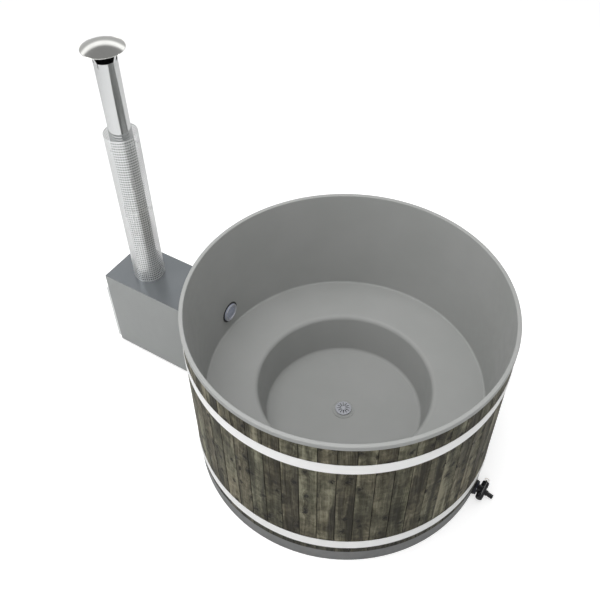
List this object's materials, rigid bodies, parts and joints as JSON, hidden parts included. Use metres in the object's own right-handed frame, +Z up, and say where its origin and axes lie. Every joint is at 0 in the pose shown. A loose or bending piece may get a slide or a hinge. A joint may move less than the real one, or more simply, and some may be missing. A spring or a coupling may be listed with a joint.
{
  "type": "wood-fired hot tub",
  "caption": "Round outdoor hot tub: grey stepped liner in a hooped wall of upright boards, with a wood-fired heater, shielded chimney and drain tap.",
  "frame": {"origin": "centre of the underside of the tub's base plate, on the ground", "axes": "+Z up along the tub's axis; the heater stands on the -X side and the drain tap points along +X; +Y is the side where the hoops are bolted"},
  "size_m": [2.7651, 1.8261, 2.25],
  "materials": {
    "grey_liner": "satin",
    "dark_base": "matt",
    "rib_timber": "planed",
    "foam": "matt",
    "stained_boards": "stained",
    "hoop_steel": "satin",
    "bolt_steel": "zinc plated",
    "fitting_grey": "smooth",
    "pipe_grey": "smooth",
    "seal_rubber": "matt",
    "black_tap": "moulded",
    "wire_loop": "drawn",
    "casing_grey": "satin powder coat",
    "lid_grey": "satin powder coat",
    "boiler_steel": "mill",
    "front_steel": "satin",
    "rope_seal": "braided",
    "grip_wood": "turned",
    "cast_grate": "cast",
    "flue_steel": "bright",
    "shield_steel": "bright perforated"
  },
  "bodies": {
    "tub": {"tub_liner": "grey_liner", "base_plate": "dark_base", "base_ring": "dark_base", "bench_ribs": "rib_timber", "wall_insulation": "foam", "wall_boards": "stained_boards", "port_boards": "stained_boards", "upper_hoop": "hoop_steel", "lower_hoop": "hoop_steel", "hoop_bolts": "bolt_steel", "hoop_nuts": "bolt_steel", "drain_grille": "fitting_grey", "drain_body": "pipe_grey", "drain_gasket": "seal_rubber", "drain_locknut": "pipe_grey", "drain_tee": "pipe_grey", "drain_pipe": "pipe_grey", "feed_pipe": "pipe_grey", "port_grille": "fitting_grey", "port_body": "pipe_grey", "port_gasket": "seal_rubber", "port_locknut": "pipe_grey", "upper_sleeve": "seal_rubber", "lower_sleeve": "seal_rubber", "hose_clamps": "bolt_steel", "tap_gasket": "seal_rubber", "tap_body": "black_tap", "tap_end_cap": "black_tap", "tap_hose_tail": "black_tap", "heater_casing": "casing_grey", "heater_lid": "lid_grey", "boiler": "boiler_steel", "firebox": "boiler_steel", "firebox_rails": "boiler_steel", "flue_spigot": "boiler_steel", "heater_feet": "bolt_steel", "front_frame": "front_steel", "hinge_pins": "bolt_steel", "fire_grate": "cast_grate", "smoke_baffle": "boiler_steel", "flue_collar": "flue_steel", "smoke_pipe": "flue_steel", "heat_shield": "shield_steel", "shield_spacers": "flue_steel", "rain_cap": "flue_steel", "cap_straps": "flue_steel"},
    "fire_door": {"fire_door": "front_steel", "door_seal": "rope_seal"},
    "latch": {"latch_spindle": "bolt_steel", "door_handle": "grip_wood"},
    "ash_drawer": {"ash_drawer": "front_steel", "drawer_pull": "bolt_steel"},
    "air_slide": {"air_slide": "bolt_steel"},
    "tap_valve": {"tap_plug": "black_tap", "tap_knob": "black_tap"},
    "ring": {"tap_wire_ring": "wire_loop"}
  },
  "joints": [
    {"name": "door_swing", "type": "hinge", "parent": "tub", "child": "fire_door", "pos_m": [-1.688, 0.146, 0.3123], "axis": [0, 0, -1], "range_deg": [0, 115]},
    {"name": "latch_turn", "type": "hinge", "parent": "fire_door", "child": "latch", "pos_m": [-1.688, -0.092, 0.3123], "axis": [-1, 0, 0], "range_deg": [0, 90]},
    {"name": "ash_drawer_slide", "type": "slide", "parent": "tub", "child": "ash_drawer", "axis": [-1, 0, 0], "range_m": [0, 0.4]},
    {"name": "air_slide_shift", "type": "slide", "parent": "ash_drawer", "child": "air_slide", "axis": [0, 1, 0], "range_m": [0, 0.01]},
    {"name": "tap_turn", "type": "hinge", "parent": "tub", "child": "tap_valve", "pos_m": [0.9452, 0, 0.05], "axis": [0, 1, 0], "range_deg": [0, 90]},
    {"name": "ring_swing", "type": "hinge", "parent": "tub", "child": "ring", "pos_m": [0.9452, 0.06, 0.0695], "axis": [-1, 0, 0], "range_deg": [0, 90]}
  ]
}
